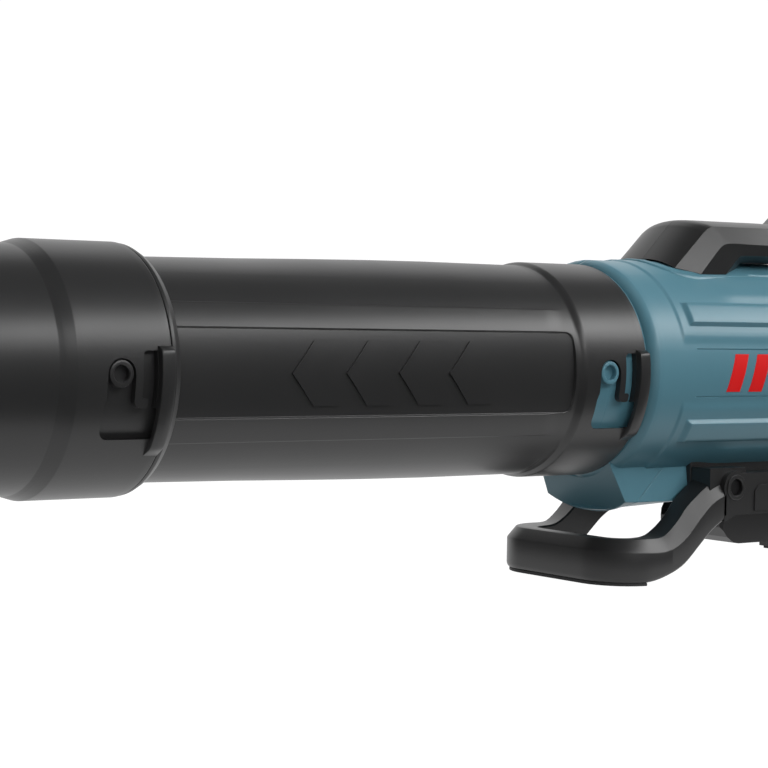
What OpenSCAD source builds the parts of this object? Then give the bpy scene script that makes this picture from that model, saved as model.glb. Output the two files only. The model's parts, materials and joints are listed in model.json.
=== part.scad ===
// Cordless leaf blower: two-piece blow tube with bayonet joints, clamshell motor housing with an
// axial fan, top handle, under-slung battery and a loop-shaped stand.
// The air axis runs along X. The nozzle points to -X and the air inlet faces +X.

/* [Air path] */
// Height of the air axis above the ground
axis_h = 100; // [96:0.5:104]
// Outer radius of the motor barrel
barrel_r = 53; // [52.8:0.1:53.4]
// Outer radius of the collar at the back of the nozzle
collar_r = 52.3; // [52.0:0.1:52.4]
// Outer radius of the nozzle tip, which accessories slide over
tip_r = 38.5; // [36:0.5:40]
// Length of the straight land at the nozzle tip
tip_land = 22; // [16:1:30]
// Wall thickness of the blow tubes
tube_wall = 2.8; // [2.4:0.1:3.0]

/* [Lengths along the air axis] */
// Half of the overall length
half_length = 485; // [480:1:520]
// Place of the joint between the nozzle and the middle tube
tube_joint_x = -140; // [-145:1:-138]
// Place of the joint between the middle tube and the motor housing
body_front_x = 116; // [116:0.5:117]
// Place where the barrel ends and the inlet grille begins
grille_x = 438; // [436:1:440]

/* [Bayonet joints] */
// Outer radius of the hollow locking pegs
peg_r = 5.4; // [5.2:0.1:5.6]
// Radius of the hole in each peg
peg_hole_r = 3.45; // [3:0.05:3.6]
// Distance from a collar's back edge to its peg
peg_inset = 22.5; // [22:0.1:23]

/* [Handle] */
// Width of the handle
handle_w = 35; // [34:0.5:36]
// Height of the top of the grip above the air axis
grip_top = 115; // [114:0.5:116]
// Width of the handle's front shoulders
shoulder_w = 44; // [42:0.5:44]
// Width of the handle's front foot
foot_w = 54; // [53:0.5:54]
// Wall thickness of the handle shells
handle_wall = 2.6; // [2.4:0.1:2.8]

/* [Fan] */
// Number of fan blades
fan_blades = 9; // [7:1:11]
// Pitch of the fan blades in degrees
fan_pitch = 38; // [30:1:42]
// Number of guide vanes behind the fan
guide_vanes = 7; // [5:1:9]

/* [Battery] */
// Length of the battery pack
battery_len = 146.5; // [146:0.5:148]
// Half width of the battery pack
battery_half_w = 22; // [21.8:0.1:22.4]
// Number of cells in the pack
cell_count = 4; // [4:2:4]

/* [Stand] */
// Half width of the stand over its outer faces
stand_half_w = 46.5; // [46.5:0.5:48]
// Thickness of the stand's side arms
stand_arm_t = 15.5; // [15:0.1:15.5]

/* [Hidden] */
$fn = 96;

teal = [0.30, 0.47, 0.54];
black = [0.13, 0.13, 0.135];
steel = [0.70, 0.71, 0.73];
big = 600;                         // longer than anything it cuts
gap = 0.3;                         // clearance between pieces that move on each other

spigot_wall_r = collar_r - 3.2;    // outer radius of the middle tube's front spigot
mid_collar_r = 50.6;               // outer radius of the middle tube's back collar
body_spigot_r = mid_collar_r - 3.2;
rib_rise = 3;                      // how far the bridge over each bayonet slot stands out
duct_r = 50.2;                     // inner radius of the barrel
nozzle_peg_x = tube_joint_x - peg_inset;
body_peg_x = body_front_x - 0.5 - peg_inset;
half_w = handle_w / 2;
battery_x0 = 195.5;
battery_x1 = battery_x0 + battery_len;
battery_floor = -86.5;
battery_deck = -62;                // top of the pack's body, below its slide rail
cradle_x1 = 325;
grip_y = half_w + 1.2;

// Turns a profile of [x, r] points about the air axis.
module lathe(points) {
    rotate([0, 90, 0]) rotate_extrude() polygon([for (p = points) [p[1], p[0]]]);
}

// The same, but only from angle low to angle high, measured upwards from the near side.
module lathe_arc(points, low, high) {
    rotate([0, 90, 0]) rotate([0, 0, -90 - high])
        rotate_extrude(angle = high - low) polygon([for (p = points) [p[1], p[0]]]);
}

module tube(x0, x1, r_out, r_in) {
    lathe([[x0, r_in], [x0, r_out], [x1, r_out], [x1, r_in]]);
}

// A rod along X.
module rod_x(x0, x1, r, y = 0, z = 0) {
    translate([x0, y, z]) rotate([0, 90, 0]) cylinder(h = x1 - x0, r = r);
}

// A rod along Y.
module rod_y(x, z, y0, y1, r) {
    translate([x, y0, z]) rotate([-90, 0, 0]) cylinder(h = y1 - y0, r = r);
}

// A flat outline of [x, z] points, made solid from y0 to y1.
module slab(points, y0, y1) {
    translate([0, y1, 0]) rotate([90, 0, 0]) linear_extrude(y1 - y0) polygon(points);
}

module box(x0, x1, y0, y1, z0, z1) {
    translate([x0, y0, z0]) cube([x1 - x0, y1 - y0, z1 - z0]);
}

// Both turned halves of something that lies on the near side.
module both_sides() {
    children();
    rotate([180, 0, 0]) children();
}

// A pan-head screw along Y, with its head at y_head and its tip at y_tip.
module screw_y(x, z, y_head, y_tip, head_r = 3.4, shank_r = 1.7) {
    way = y_tip > y_head ? 1 : -1;
    rod_y(x, z, min(y_head, y_head + way * 2.4), max(y_head, y_head + way * 2.4), head_r);
    rod_y(x, z, min(y_head, y_tip), max(y_head, y_tip), shank_r);
}

// A circular arc of [x, z] points.
function arc(cx, cz, r, a0, a1, n) =
    [for (i = [0:n]) let (a = a0 + (a1 - a0) * i / n) [cx + r * cos(a), cz + r * sin(a)]];

// ---- bayonet joint -------------------------------------------------------------------------

slot_low = -25.8;     // lowest point of the slot below the peg
hook_low = -13.4;     // underside of the sprung finger's hook
finger_x0 = 6.1;      // front edge of the sprung finger, from the peg
finger_x1 = 9.4;
rib_x0 = 15.8;        // front edge of the bridge, from the peg
gap_top = 7.5;        // top of the gap behind the finger

// What is cut out of a collar: the peg's path and the gap behind the sprung finger.
module slot_cut(x, r, end) {
    translate([x, -r + 12, 0]) rotate([90, 0, 0]) linear_extrude(20)
        polygon(concat(arc(0, 0, finger_x0, 180, 0, 16),
            arc(finger_x0 + 3.3, hook_low + 3.3, 3.3, 180, 270, 5),
            [[12.2, hook_low], [12.2, hook_low + 3.6], [finger_x1, hook_low + 3.6],
            [finger_x1, gap_top], [finger_x1 + 1.8, gap_top + 1.5], [rib_x0, gap_top + 1.5],
            [rib_x0, hook_low], [end, hook_low], [end, slot_low]],
            arc(-3, slot_low + 4, 4, 270, 180, 5), [[-7, -12.5], [-6.1, -10]]));
}

// The raised bridge that the peg passes under.
module slot_bridge(x, r, end) {
    top = r + rib_rise;
    difference() {
        lathe_arc([[x + rib_x0 + 0.3, r - 1.6], [x + rib_x0 + 0.3, top], [end - 0.8, top],
            [end, top - 0.8], [end, r - 1.6]], -37, 11);
        lathe_arc([[x, r - 4], [x, r + 0.4], [end + 5, r + 0.4], [end + 5, r - 4]],
            -31.2, -14.2);
    }
}

module peg(x, r_root, r_end) {
    translate([x, 0, 0]) rotate([90, 0, 0]) translate([0, 0, r_root])
        difference() {
            cylinder(h = r_end - r_root, r = peg_r, $fn = 48);
            translate([0, 0, 2]) cylinder(h = 20, r = peg_hole_r, $fn = 48);
        }
}

// ---- blow tube -----------------------------------------------------------------------------

module nozzle() color(black) {
    tip_x = -half_length;
    end = tube_joint_x;
    difference() {
        lathe([[tip_x, tip_r - tube_wall], [tip_x, tip_r - 0.8], [tip_x + 0.8, tip_r],
            [tip_x + tip_land, tip_r], [tip_x + tip_land + 1, tip_r + 1.5],
            [-188, 50.2], [-181.5, collar_r], [end, collar_r],
            [end, spigot_wall_r + gap], [-182.4, spigot_wall_r + gap],
            [-184, spigot_wall_r - 2.4], [tip_x + tip_land, tip_r - tube_wall]]);
        both_sides() slot_cut(nozzle_peg_x, collar_r, peg_inset + 1);
    }
    both_sides() slot_bridge(nozzle_peg_x, collar_r, end);
}

module mid_tube() color(black) {
    end = body_front_x - 0.5;
    front = -181.5;
    flange = tube_joint_x + gap;
    difference() {
        lathe([[front, spigot_wall_r - 2.6], [front, spigot_wall_r], [flange, spigot_wall_r],
            [flange, collar_r - 0.4], [flange + 1.6, collar_r - 0.4],
            [flange + 4.4, 50.2], [flange + 5, 46.6], [-80, 47.4], [-45, 48.2], [-12, 48.8],
            [20, 49.2], [68, 49], [77.5, mid_collar_r], [end, mid_collar_r],
            [end, body_spigot_r + gap], [73, body_spigot_r + gap], [71, 45.6],
            [20, 46.3], [-80, 44.5], [-134, 43.9], [-150, 45.2]]);
        both_sides() slot_cut(body_peg_x, mid_collar_r, peg_inset + 1);
        tube(nozzle_peg_x - 12.1, nozzle_peg_x - 9.9, spigot_wall_r + 1, spigot_wall_r - 1.3);
    }
    both_sides() slot_bridge(body_peg_x, mid_collar_r, end);
    both_sides() peg(nozzle_peg_x, spigot_wall_r - 1, collar_r - 0.2);
    both_sides() tube_panel();
}

// The raised panel on each side of the middle tube, with plain air-flow chevrons on it.
module tube_panel() {
    intersection() {
        lathe([[-133, 45.4], [-133, 47.4], [-45, 49], [20, 50], [72, 50], [72, 47.4]]);
        box(-133, 72, -60, -30, -18.2, 18.2);
    }
    intersection() {
        lathe([[-90, 46.5], [-90, 48.8], [-45, 49.7], [20, 50.7], [40, 50.7], [40, 47.5]]);
        for (i = [0:2]) translate([-58 + i * 34, -40, 0]) rotate([90, 0, 0]) linear_extrude(20)
            polygon([[-19, 0], [0, 14], [17, 14], [-2, 0], [17, -14], [0, -14]]);
    }
}

module mid_tube_seal() color("dimgray")
    tube(nozzle_peg_x - 12, nozzle_peg_x - 10, spigot_wall_r - 0.02, spigot_wall_r - 1.3);

module spigot_seal() color("dimgray")
    tube(81.5, 83.5, body_spigot_r - 0.02, body_spigot_r - 1.3);

// ---- motor housing -------------------------------------------------------------------------

base_x0 = 120;
base_x1 = 322;
skirt_y = 30.9;

// Outline of the chin and battery base under the barrel, seen from the side.
base_outline = [[base_x0 - 3, -40], [base_x0 - 3, -46], [base_x0 + 4.8, -62.3],
    [base_x0 + 8.3, -69], [168, -69],
    [176, -61.7], [base_x1, -61.7], [base_x1 + 12, -40]];

module barrel_solid() {
    lathe([[74, 0], [74, body_spigot_r], [body_front_x, body_spigot_r], [body_front_x, 50.9],
        [body_front_x + 3.4, barrel_r - 0.2], [152, barrel_r], [154, barrel_r + 0.7],
        [grille_x, barrel_r + 0.7], [grille_x, 0]]);
}

module barrel_hollow() {
    lathe([[73, 0], [73, 44.6], [body_front_x + 2, 44.6], [215, duct_r], [grille_x + 1, duct_r],
        [grille_x + 1, 0]]);
}

// Front view of the base: square shoulders and a shallow keel, narrower at the chin.
module base_section(x0, x1, w, side_z, keel_z) {
    translate([x0, 0, 0]) rotate([90, 0, 90]) linear_extrude(x1 - x0)
        polygon([[-w, -30], [-w, side_z], [-w * 0.55, keel_z + 1.2], [-w * 0.2, keel_z],
            [w * 0.2, keel_z], [w * 0.55, keel_z + 1.2], [w, side_z], [w, -30]]);
}

module flute(low, high, x0, x1) {
    rise = barrel_r + 2.2;
    root = barrel_r - 1;
    lathe_arc([[x0, root], [x0 + 5, rise], [x1 - 5, rise], [x1, root]], low, high);
}

module housing_shape() {
    difference() {
        union() {
            barrel_solid();
            intersection() {
                slab(base_outline, -skirt_y, skirt_y);
                union() {
                    base_section(base_x0 - 5, 168, 27, -62.3, -68.4);
                    base_section(166, 340, skirt_y, -61.7, -61.7);
                }
            }
            for (side = [0, 1]) mirror([0, side, 0]) {
                flute(25, 37.5, 163, grille_x - 14);
                flute(-37.5, -25, 163, grille_x - 14);
            }
            both_sides() peg(body_peg_x, body_spigot_r - 1, mid_collar_r - 0.2);
        }
        barrel_hollow();
        // room for the control board in the chin
        box(127, 164, -24, 24, -61.4, -barrel_r - 0.8);
        // room behind it for the wires
        box(168, 198, -26, 26, -59.5, -barrel_r - 0.8);
        // channel for the battery cradle
        box(201, base_x1 + 20, -26, 26, -70, -barrel_r - 0.8);
        // window for the top cover
        top_window(0);
        // groove for the seal
        tube(81.4, 83.6, body_spigot_r + 1, body_spigot_r - 1.3);
        stand_bosses(2.0);
        for (a = grille_screw_a) rotate([a, 0, 0]) rod_x(grille_x - 9, grille_x + 1, 1.2, 0, grille_screw_r);
        for (x = housing_screw_x) {
            rod_y(x, -49.6, -13, 40, 1.62);
            rod_y(x, -49.6, 14, 40, 3.8);
        }
    }
}

// Screw holes on the stand's bosses.
module stand_bosses(r) {
    for (side = [-1, 1], x = [boss_x, 288])
        rod_y(x, boss_z, side > 0 ? 26.8 : -40, side > 0 ? 40 : -26.8, r);
}

// Places of the screws that close the two housing halves.
housing_screw_x = [128, 150];

top_angle = 60;       // where the top cover begins, above the near side
cover_x0 = 150;
cover_x1 = 434;

module top_window(slack) {
    lathe_arc([[cover_x0 + slack, duct_r + 1.2], [cover_x0 + slack, 60],
        [cover_x1 - slack, 60], [cover_x1 - slack, duct_r + 1.2]],
        top_angle + slack / 2, 180 - top_angle - slack / 2);
}

module near_half() {
    intersection() {
        children();
        translate([-big, -big, -big]) cube([2 * big, big - 0.05, 2 * big]);
    }
}

module housing_left() color(teal) near_half() housing_shape();

module housing_right() color(teal) mirror([0, 1, 0]) near_half() mirror([0, 1, 0]) housing_shape();

// Low pads that the handle's two legs stand on.
module foot_pads(top) {
    box(157.5, 207, -foot_w / 2 + 2, foot_w / 2 - 2, 40, top);
    box(401, 433.5, -20, 20, 40, top);
}

module top_cover() color(teal) {
    difference() {
        union() {
            intersection() {
                barrel_solid();
                top_window(0.3);
            }
            difference() {
                intersection() {
                    foot_pads(52);
                    rod_x(100, 500, barrel_r + 1.5);
                }
                rod_x(100, 500, duct_r + 2);
            }
        }
        for (x = handle_bolt_x) translate([x, 0, 40]) cylinder(h = 30, r = 2.1, $fn = 32);
    }
}

module housing_screws() color(steel)
    for (x = housing_screw_x) screw_y(x, -49.6, 16.4, -12, 3.4, 1.6);

// ---- handle --------------------------------------------------------------------------------

// Side outline of the whole handle: nose, ramp, grip and back leg, from foot to foot.
handle_top_line = concat([[154.5, 48], [160.5, 54], [178, 71.5]], arc(190, 62, 13.2, 128, 90, 4),
    [[250, 75.3], [260, 77.5], [290, 104], [303, 112.3], [318, grip_top], [390, grip_top],
    [408, 112.5], [422, 103], [430, 88], [432, 48]]);
handle_under_line = [[404, 48], [402, 76], [394, 85], [380, 88.5], [312, 88.5], [298, 85],
    [264, 62], [250, 57.6], [216, 57.6], [206, 48]];
handle_bolt_x = [183, 418];
handle_screws_at = [[192, 66], [417, 80]];
lever_x = 279;
lever_z = 83;

// The wider layers of the front foot: shoulders, and the flare below them.
shoulder_line = [[158.2, 46], [159.4, 49.7], [169.7, 59.2], [177.4, 66.4], [182.8, 70.5], [187.1, 71.2],
    [252, 71.4], [262, 75], [284, 93.5], [292, 84], [264, 62], [250, 57.6], [202.4, 57.2], [198.7, 56.2],
    [189.6, 46]];
flare_line = [[171.2, 42], [171.5, 46.4], [184.3, 59.6], [188.5, 62.4], [193.5, 63], [250, 63], [262, 66.5],
    [276, 78], [282, 77], [264, 62], [250, 57.6], [202.4, 57.2], [198.7, 56.2], [189.6, 47], [189.6, 42]];

module handle_wide(inset) {
    intersection() {
        union() {
            slab_in(shoulder_line, inset, -shoulder_w / 2 + inset, 0);
            slab_in(flare_line, inset, -foot_w / 2 + inset, 0);
        }
        // narrows to the handle's width going back
        translate([0, 0, 30]) linear_extrude(80)
            polygon([[140, 1], [140, -foot_w / 2], [225, -foot_w / 2], [247, -shoulder_w / 2 + 1],
                [257, -half_w + 0.5], [257, 1]]);
    }
}

module slab_in(line, inset, y0, y1) {
    translate([0, y1, 0]) rotate([90, 0, 0]) linear_extrude(y1 - y0) offset(delta = -inset) polygon(line);
}

module handle_layer(inset, y0, y1) {
    translate([0, y1, 0]) rotate([90, 0, 0]) linear_extrude(y1 - y0)
        offset(delta = -inset) polygon(concat(handle_top_line, handle_under_line));
}

// Outer form with stepped shoulders, from the middle plane to the near side.
module handle_form() {
    handle_layer(0, -half_w + 4.5, 0);
    handle_layer(1.8, -half_w + 2.5, 0);
    handle_layer(3.8, -half_w + 1, 0);
    handle_layer(5.6, -half_w, 0);
    handle_wide(0);
}

module handle_half(lever_hole) {
    difference() {
        handle_form();
        difference() {
            union() {
                handle_layer(handle_wall, -half_w + 6, 1);
                handle_layer(handle_wall + 3, -half_w + handle_wall, 1);
                intersection() {
                    handle_wide(handle_wall);
                    box(212, 252, -30, 1, 40, 90);
                }
            }
            // solid feet and screw bosses
            box(150, 212, -30, 2, 40, 57);
            box(400, 440, -30, 2, 40, 62);
            for (p = handle_screws_at) rod_y(p[0], p[1], -half_w, 1, 4.6);
        }
        rod_x(100, 500, barrel_r + 0.72);
        foot_pads(52.02);
        // slot in the grip's underside for the trigger
        box(trigger_x - 7, trigger_x + 40, -8.3, 1, 80, 95);
        // hole in the top for the turbo button
        translate([button_x, 0, 95]) cylinder(h = 30, r = 6.4, $fn = 48);
        rod_y(trigger_x, trigger_z, -half_w + 0.8, 1, 2.03);
        if (lever_hole) rod_y(lever_x, lever_z, -25, 1, 4.04);
        for (p = handle_screws_at) {
            rod_y(p[0], p[1], -half_w + 2, 1, 1.72);
            if (!lever_hole) rod_y(p[0], p[1], -half_w - 1, 1, 1.72);
            if (!lever_hole) rod_y(p[0], p[1], -foot_w, -half_w + 4, 3.6);
        }
        // room for the bolts that hold the feet down
        for (x = handle_bolt_x) {
            translate([x, 0, 40]) cylinder(h = 18, r = 2.1, $fn = 32);
            translate([x, 0, 56.8]) cylinder(h = 6, r = 4.4, $fn = 32);
        }
    }
}

module handle_left() color(black) translate([0, -0.05, 0]) handle_half(true);

module handle_right() color(black) mirror([0, 1, 0]) translate([0, -0.05, 0]) handle_half(false);

module handle_screws() color(steel)
    for (p = handle_screws_at) screw_y(p[0], p[1], half_w - 1.5, -half_w + 4.5, 3.4, 1.7);

module handle_bolts() color(steel)
    for (x = handle_bolt_x) {
        translate([x, 0, duct_r + 2.1]) cylinder(h = 7.5, r = 2, $fn = 32);
        translate([x, 0, 57.1]) cylinder(h = 2.4, r = 4.2, $fn = 32);
    }

module grip_pad() color([0.08, 0.08, 0.08]) {
    difference() {
        box(328, 388, -grip_y, grip_y, 94, grip_top + 1.2);
        box(320, 395, -half_w + 4.43, half_w - 4.43, 90, grip_top + 0.03);
        box(320, 395, -half_w + 2.43, half_w - 2.43, 90, grip_top - 1.77);
        box(320, 395, -half_w + 0.93, half_w - 0.93, 90, grip_top - 3.77);
        box(320, 395, -half_w - 0.07, half_w + 0.07, 90, grip_top - 5.57);
    }
}

trigger_x = 306;
trigger_z = 96;
button_x = 308;

module trigger() color([0.16, 0.16, 0.17]) translate([trigger_x, 0, trigger_z]) {
    difference() {
        slab(concat([[-5, -4], [-5, 2], [0, 5], [6, 4], [32, -3], [37, -6], [37, -14]],
            arc(19, 0, 19.5, 305, 240, 8), [[-1, -16.5]]), -7.8, 7.8);
        rod_y(0, 0, -10, 10, 2.04);
        // pocket for the return spring
        translate([26, 0, -8]) cylinder(h = 20, r = 3.3, $fn = 32);
    }
}

module trigger_pin() color(steel) rod_y(trigger_x, trigger_z, -16.4, 16.4, 2);

module trigger_spring() color(steel)
    translate([trigger_x + 26, 0, trigger_z - 7.7]) difference() {
        cylinder(h = 13.4, r = 2.9, $fn = 32);
        translate([0, 0, -1]) cylinder(h = 20, r = 2.1, $fn = 32);
    }

module trigger_switch() color([0.1, 0.1, 0.1]) {
    box(trigger_x + 16, trigger_x + 48, -7, 7, 102, grip_top - handle_wall - 0.05);
    rod_z(trigger_x + 36, 4.5, 99.6, 102.1, 1.6);
}

// An upright rod.
module rod_z(x, y, z0, z1, r) {
    translate([x, y, z0]) cylinder(h = z1 - z0, r = r, $fn = 48);
}

module turbo_button() color([0.75, 0.12, 0.1]) {
    rod_z(button_x, 0, 106.5, 116, 6.1);
    rod_z(button_x, 0, 104.6, 106.6, 4);
}

module turbo_switch() color([0.1, 0.1, 0.1])
    box(button_x - 7, button_x + 5, -half_w + handle_wall - 0.04, half_w - handle_wall + 0.04,
        101.5, 102.2);

module cruise_lever() color([0.18, 0.18, 0.19]) {
    rod_y(lever_x, lever_z, -half_w - 4.4, -half_w - 0.4, 8.5);
    rod_y(lever_x, lever_z, -half_w - 0.5, -9, 4);
    slab([[lever_x - 3.2, lever_z - 2], [lever_x + 3.2, lever_z - 2], [lever_x + 2, lever_z + 15],
        [lever_x - 2, lever_z + 15]], -half_w - 6.4, -half_w - 1);
}

module strap_eyelet() color(black)
    difference() {
        union() {
            slab([[426, 99], [440, 66], [448, 66], [452, 84]], -3.4, 3.4);
            rod_y(444, 86, -3.4, 3.4, 9.5);
        }
        rod_y(444, 86, -10, 10, 5);
        slab([[400, 60], [430.9, 60], [430.02, 88], [422.02, 103], [415, 110], [400, 110]],
            -10, 10);
    }

// ---- stand ---------------------------------------------------------------------------------

stand_foot = -axis_h;
pad_t = 1.4;                       // thickness of the rubber pads under the stand
stand_low = stand_foot + pad_t;
stand_front_x = 102;
stand_corner = 24;
boss_x = 180.3;
boss_z = -55.5;

// Lower edge of the stand, from the front loop along the rising arm to the back foot.
stand_under = [[stand_front_x - 1, stand_low + 3], [stand_front_x + 3, stand_low],
    [124, stand_low], [137, -96], [147.5, -91.3], [158, -82.3], [166, -75.7], [176, -70.4],
    [181, -68.8], [291, -68.4], [297, -75], [297, stand_low], [319, stand_low], [319, -58],
    [312, -48.7]];
// Outline of the outer face, with the screw boss.
stand_outline = concat(stand_under, [[188, -48.7]], arc(boss_x, boss_z, 8, 55, 180, 10),
    [[168, -61], [164.4, -62.9], [155.4, -70.8], [148.2, -77.9], [140.1, -82.7], [132.3, -84.5],
    [stand_front_x - 1, -83.6]]);
// Outline of the thicker part behind it, which reaches up to the barrel.
stand_inner_outline = concat(stand_under, [[190, -48.7], [189, -46.2], [170, -46.2], [164.8, -53],
    [158, -58.8], [151.4, -64.6], [146, -70], [139.5, -75.6], [132, -78.4],
    [stand_front_x - 1, -78.4]]);

module stand_plan(inset) {
    x0 = stand_front_x + inset;
    w = stand_half_w - inset;
    c = stand_corner - inset;
    translate([0, 0, -120]) linear_extrude(120) polygon(concat([[330, -w], [x0 + c, -w]],
        [for (a = [-90:-10:-180]) [x0 + c + c * cos(a), -w + c + c * sin(a)]],
        [for (a = [180:-10:90]) [x0 + c + c * cos(a), w - c + c * sin(a)]], [[330, w]]));
}

module stand_frame() color(black)
    difference() {
        for (layer = [[stand_outline, 0], [stand_inner_outline, 3]]) intersection() {
            slab(layer[0], -stand_half_w, stand_half_w);
            difference() {
                stand_plan(layer[1]);
                stand_plan(stand_arm_t);
            }
        }
        for (side = [-1, 1], x = [boss_x, 288]) {
            rod_y(x, boss_z, side > 0 ? stand_half_w - 3.4 : -60,
                side > 0 ? 60 : -stand_half_w + 3.4, 4.1);
            rod_y(x, boss_z, side > 0 ? 30 : -50, side > 0 ? 50 : -30, 2.0);
        }
    }

module stand_screws() color(steel)
    for (side = [-1, 1], x = [boss_x, 288])
        screw_y(x, boss_z, side * (stand_half_w - 1), side * 27.5, 3.5, 1.9);

module stand_pads() color([0.1, 0.1, 0.1]) {
    intersection() {
        box(stand_front_x, 124, -60, 60, stand_foot, stand_low);
        difference() {
            stand_plan(1.4);
            stand_plan(stand_arm_t - 1.4);
        }
    }
    for (side = [0, 1]) mirror([0, side, 0])
        box(299, 317, -stand_half_w + 1.4, -stand_half_w + stand_arm_t - 1.4, stand_foot, stand_low);
}

// ---- battery dock and electronics ----------------------------------------------------------

module battery_cradle() color(black) {
    difference() {
        box(202, cradle_x1, -26, 26, -61.5, -barrel_r - 0.8);
        box(201.9, cradle_x1 + 1, -21.2, 21.2, -59.4, -57.3);
        box(201.9, cradle_x1 + 1, -17.8, 17.8, -62, -57.3);
    }
}

module terminal_block() color([0.5, 0.1, 0.1])
    box(202.2, 207, -12, 12, -61.4, -57.3);

module terminal_blades() color("goldenrod")
    for (y = [-9, -3, 3, 9]) box(207, 219, y - 0.4, y + 0.4, -61, -57.9);

module control_board() color([0.1, 0.35, 0.2]) box(128, 163, -23, 23, -60.6, -59);

module board_capacitors() color([0.15, 0.15, 0.2])
    for (y = [-15, 0, 15]) rod_z(146, y, -59, -54.4, 4);

// ---- motor and fan -------------------------------------------------------------------------

hub_r = 26;
fan_x0 = 386;
fan_x1 = 414;
motor_x0 = 296;
motor_x1 = 376;

module stator_duct() color([0.2, 0.2, 0.21]) tube(motor_x0, motor_x1 + 4, duct_r, duct_r - 2.2);

module motor_hub() color([0.2, 0.2, 0.21]) tube(motor_x0, motor_x1 - 2, hub_r, hub_r - 1.8);

module stator_vanes() color([0.2, 0.2, 0.21]) intersection() {
    tube(motor_x0 + 4, motor_x1 - 4, duct_r - 2.2, hub_r);
    for (i = [0:guide_vanes - 1]) rotate([(i + 0.5) * 360 / guide_vanes, 0, 0])
        translate([motor_x0 + 40, 0, 38]) rotate([0, 0, 14]) cube([90, 2, 40], center = true);
}

module motor_can() color(steel) {
    inner = hub_r - 3.6;
    outer = hub_r - 1.8;
    difference() {
        lathe([[motor_x0 + 2, 8], [motor_x0 + 2, outer], [motor_x1, outer], [motor_x1, 8],
            [motor_x1 - 6, 8], [motor_x1 - 6, 7], [motor_x1 - 8, 7], [motor_x1 - 8, inner],
            [motor_x0 + 10, inner], [motor_x0 + 10, 7], [motor_x0 + 8, 7], [motor_x0 + 8, 8]]);
        for (a = [30:60:359]) rotate([a, 0, 0]) translate([motor_x1 - 10, 0, 15])
            rotate([0, 90, 0]) cylinder(h = 20, r = 3, $fn = 32);
    }
}

stator_x0 = motor_x0 + 21;
stator_x1 = motor_x0 + 57;

module motor_stator() color([0.35, 0.35, 0.37])
    difference() {
        tube(stator_x0, stator_x1, hub_r - 3.6, 12);
        for (a = [0:60:359]) rotate([a, 0, 0])
            box(stator_x0 - 1, stator_x1 + 1, -2.6, 2.6, 13.6, 19);
    }

module motor_windings() color([0.72, 0.40, 0.18]) {
    tube(stator_x0 - 8, stator_x0, 19.5, 13.6);
    tube(stator_x1, stator_x1 + 8, 19.5, 13.6);
    for (a = [0:60:359]) rotate([a, 0, 0]) box(stator_x0 - 0.1, stator_x1 + 0.1, -2.6, 2.6, 13.6, 19);
}

module tail_cone() color([0.2, 0.2, 0.21])
    lathe([[239, 0], [239, 4], [246, 9], [269, 19], [motor_x0, hub_r],
        [motor_x0, hub_r - 2], [271, 17], [247, 7], [242, 0]]);

module front_bearing() color(steel) tube(motor_x0 + 2.6, motor_x0 + 8, 8, 2.53);

module rear_bearing() color(steel) tube(motor_x1 - 6, motor_x1 - 0.6, 8, 2.53);

module rotor_shaft() color(steel) rod_x(motor_x0 + 3, fan_x1 + 8, 2.5);

module rotor_magnets() color([0.25, 0.25, 0.27]) tube(stator_x0, stator_x1, 11.4, 2.5);

module fan() color([0.09, 0.09, 0.09]) {
    difference() {
        lathe([[fan_x0, 2.5], [fan_x0, 22], [fan_x1 - 6, 22], [fan_x1 - 1, 17], [fan_x1, 12],
            [fan_x1, 2.5]]);
        tube(fan_x0 - 1, fan_x0 + 18, 19.5, 7);
    }
    intersection() {
        tube(fan_x0, fan_x1 - 6, 46.6, 21.5);
        for (i = [0:fan_blades - 1]) rotate([i * 360 / fan_blades, 0, 0])
            translate([(fan_x0 + fan_x1) / 2 - 3, 0, 34]) rotate([0, 0, fan_pitch])
                cube([60, 1.8, 36], center = true);
    }
}

module fan_nut() color(steel)
    difference() {
        rotate([0, 90, 0]) cylinder(h = fan_x1 + 5, r = 4.6, $fn = 6);
        rod_x(-1, fan_x1, 20);
        rod_x(-1, 500, 2.5);
    }

// ---- air inlet -----------------------------------------------------------------------------

grille_r = 56.5;
bell_x = grille_x - 16;

module inlet_bell() color([0.2, 0.2, 0.21])
    lathe(concat([[bell_x, duct_r], [bell_x, 47.4]],
        [for (a = [0:10:80]) [bell_x + 2 + 12 * sin(a), 47.4 + 2.6 * (1 - cos(a))]],
        [[grille_x - 1, duct_r]]));

module inlet_grille() color(black) {
    back = half_length;
    difference() {
        lathe([[grille_x, duct_r], [grille_x, grille_r - 1.6], [grille_x + 1.6, grille_r],
            [grille_x + 26, grille_r], [back - 8, 53.5], [back, 46], [back, 43.5],
            [back - 3, 43.5], [back - 10, 50.2], [grille_x + 26, grille_r - 3],
            [grille_x + 8, grille_r - 3], [grille_x + 5, duct_r]]);
        // long slots round the side
        for (a = [0:15:359]) rotate([a + 7.5, 0, 0]) box(grille_x + 11, back - 12, -2.8, 2.8, 44, 70);
        for (a = grille_screw_a) rotate([a, 0, 0]) {
            rod_x(grille_x - 1, grille_x + 12, 1.2, 0, grille_screw_r);
            rod_x(grille_x + 4.4, grille_x + 12, 2.4, 0, grille_screw_r);
        }
    }
    // rings and spokes of the back
    for (r = [16, 30]) tube(back - 3, back, r + 1.2, r - 1.2);
    intersection() {
        tube(back - 3, back, 44.5, 6);
        for (a = [0:22.5:179]) rotate([a, 0, 0]) box(back - 3, back, -1.1, 1.1, -46, 46);
    }
    rod_x(back - 3, back, 8);
}

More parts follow.
